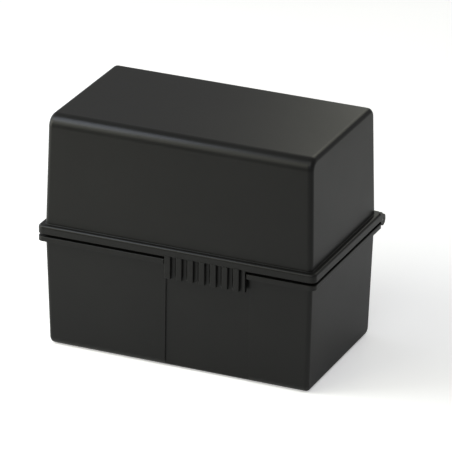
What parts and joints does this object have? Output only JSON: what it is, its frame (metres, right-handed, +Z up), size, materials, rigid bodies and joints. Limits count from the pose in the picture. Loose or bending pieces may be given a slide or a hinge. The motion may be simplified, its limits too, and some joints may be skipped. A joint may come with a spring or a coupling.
{
  "type": "index card box",
  "caption": "Black plastic two-shell card file box for A6 cards, with a rear-hinged lid, a ribbed latch tongue, a support plate and lettered guide cards.",
  "frame": {"origin": "centre of the flat face that the box stands on", "axes": "+X to the right along the long side, +Y to the back where the hinge is, +Z up"},
  "size_m": [0.1684, 0.1043, 0.139],
  "materials": {
    "tray_plastic": "satin, fine moulded grain",
    "lid_plastic": "satin, fine moulded grain",
    "latch_plastic": "satin",
    "pin_steel": "drawn wire",
    "plate_steel": "satin grey enamel",
    "guide_board": "buff pressboard",
    "card_paper": "uncoated card, ruled"
  },
  "bodies": {
    "tray": {"base_tray": "tray_plastic", "hinge_pin": "pin_steel"},
    "lid": {"lid": "lid_plastic"},
    "latch": {"latch_tongue": "latch_plastic"},
    "plate": {"support_plate": "plate_steel"},
    "cards_a_to_d": {"guide_a": "guide_board", "guide_b": "guide_board", "guide_c": "guide_board", "guide_d": "guide_board", "cards_a": "card_paper", "cards_b": "card_paper", "cards_c": "card_paper", "cards_d": "card_paper"},
    "cards_e_to_h": {"guide_e": "guide_board", "guide_f": "guide_board", "guide_g": "guide_board", "guide_h": "guide_board", "cards_e": "card_paper", "cards_f": "card_paper", "cards_g": "card_paper", "cards_h": "card_paper"},
    "cards_i_to_l": {"guide_i": "guide_board", "guide_j": "guide_board", "guide_k": "guide_board", "guide_l": "guide_board", "cards_i": "card_paper", "cards_j": "card_paper", "cards_k": "card_paper", "cards_l": "card_paper"},
    "cards_m_to_p": {"guide_m": "guide_board", "guide_n": "guide_board", "guide_o": "guide_board", "guide_p": "guide_board", "cards_m": "card_paper", "cards_n": "card_paper", "cards_o": "card_paper", "cards_p": "card_paper"},
    "cards_q_to_t": {"guide_q": "guide_board", "guide_r": "guide_board", "guide_s": "guide_board", "guide_t": "guide_board", "cards_q": "card_paper", "cards_r": "card_paper", "cards_s": "card_paper", "cards_t": "card_paper"},
    "cards_u_to_xyz": {"guide_u": "guide_board", "guide_v": "guide_board", "guide_w": "guide_board", "guide_xyz": "guide_board", "cards_u": "card_paper", "cards_v": "card_paper", "cards_w": "card_paper", "cards_xyz": "card_paper"}
  },
  "joints": [
    {"name": "lid_open", "type": "hinge", "parent": "tray", "child": "lid", "pos_m": [0, 0.0505, 0.0688], "axis": [-1, 0, 0], "range_deg": [0, 105]},
    {"name": "latch_flex", "type": "hinge", "parent": "lid", "child": "latch", "pos_m": [0.01845, -0.0502, 0.0697], "axis": [-1, 0, 0], "range_deg": [0, 8], "stiffness_Nm_per_rad": 0.4},
    {"name": "plate_slide", "type": "slide", "parent": "tray", "child": "plate", "axis": [0, 1, 0], "range_m": [0, 0.013]},
    {"name": "tilt_a_to_d", "type": "hinge", "parent": "tray", "child": "cards_a_to_d", "pos_m": [0, -0.024, 0.0035], "axis": [1, 0, 0], "range_deg": [0, 8.5]},
    {"name": "tilt_e_to_h", "type": "hinge", "parent": "tray", "child": "cards_e_to_h", "pos_m": [0, -0.0173, 0.0035], "axis": [1, 0, 0], "range_deg": [0, 7.14]},
    {"name": "tilt_i_to_l", "type": "hinge", "parent": "tray", "child": "cards_i_to_l", "pos_m": [0, -0.0106, 0.0035], "axis": [1, 0, 0], "range_deg": [0, 5.78]},
    {"name": "tilt_m_to_p", "type": "hinge", "parent": "tray", "child": "cards_m_to_p", "pos_m": [0, -0.0039, 0.0035], "axis": [1, 0, 0], "range_deg": [0, 4.42]},
    {"name": "tilt_q_to_t", "type": "hinge", "parent": "tray", "child": "cards_q_to_t", "pos_m": [0, 0.0028, 0.0035], "axis": [1, 0, 0], "range_deg": [0, 3.06]},
    {"name": "tilt_u_to_xyz", "type": "hinge", "parent": "tray", "child": "cards_u_to_xyz", "pos_m": [0, 0.0095, 0.0035], "axis": [1, 0, 0], "range_deg": [0, 1.7]}
  ],
  "couplings": [
    {"joint": "tilt_e_to_h", "follows": "tilt_a_to_d", "ratio": 0.84},
    {"joint": "tilt_i_to_l", "follows": "tilt_a_to_d", "ratio": 0.68},
    {"joint": "tilt_m_to_p", "follows": "tilt_a_to_d", "ratio": 0.52},
    {"joint": "tilt_q_to_t", "follows": "tilt_a_to_d", "ratio": 0.36},
    {"joint": "tilt_u_to_xyz", "follows": "tilt_a_to_d", "ratio": 0.2}
  ]
}
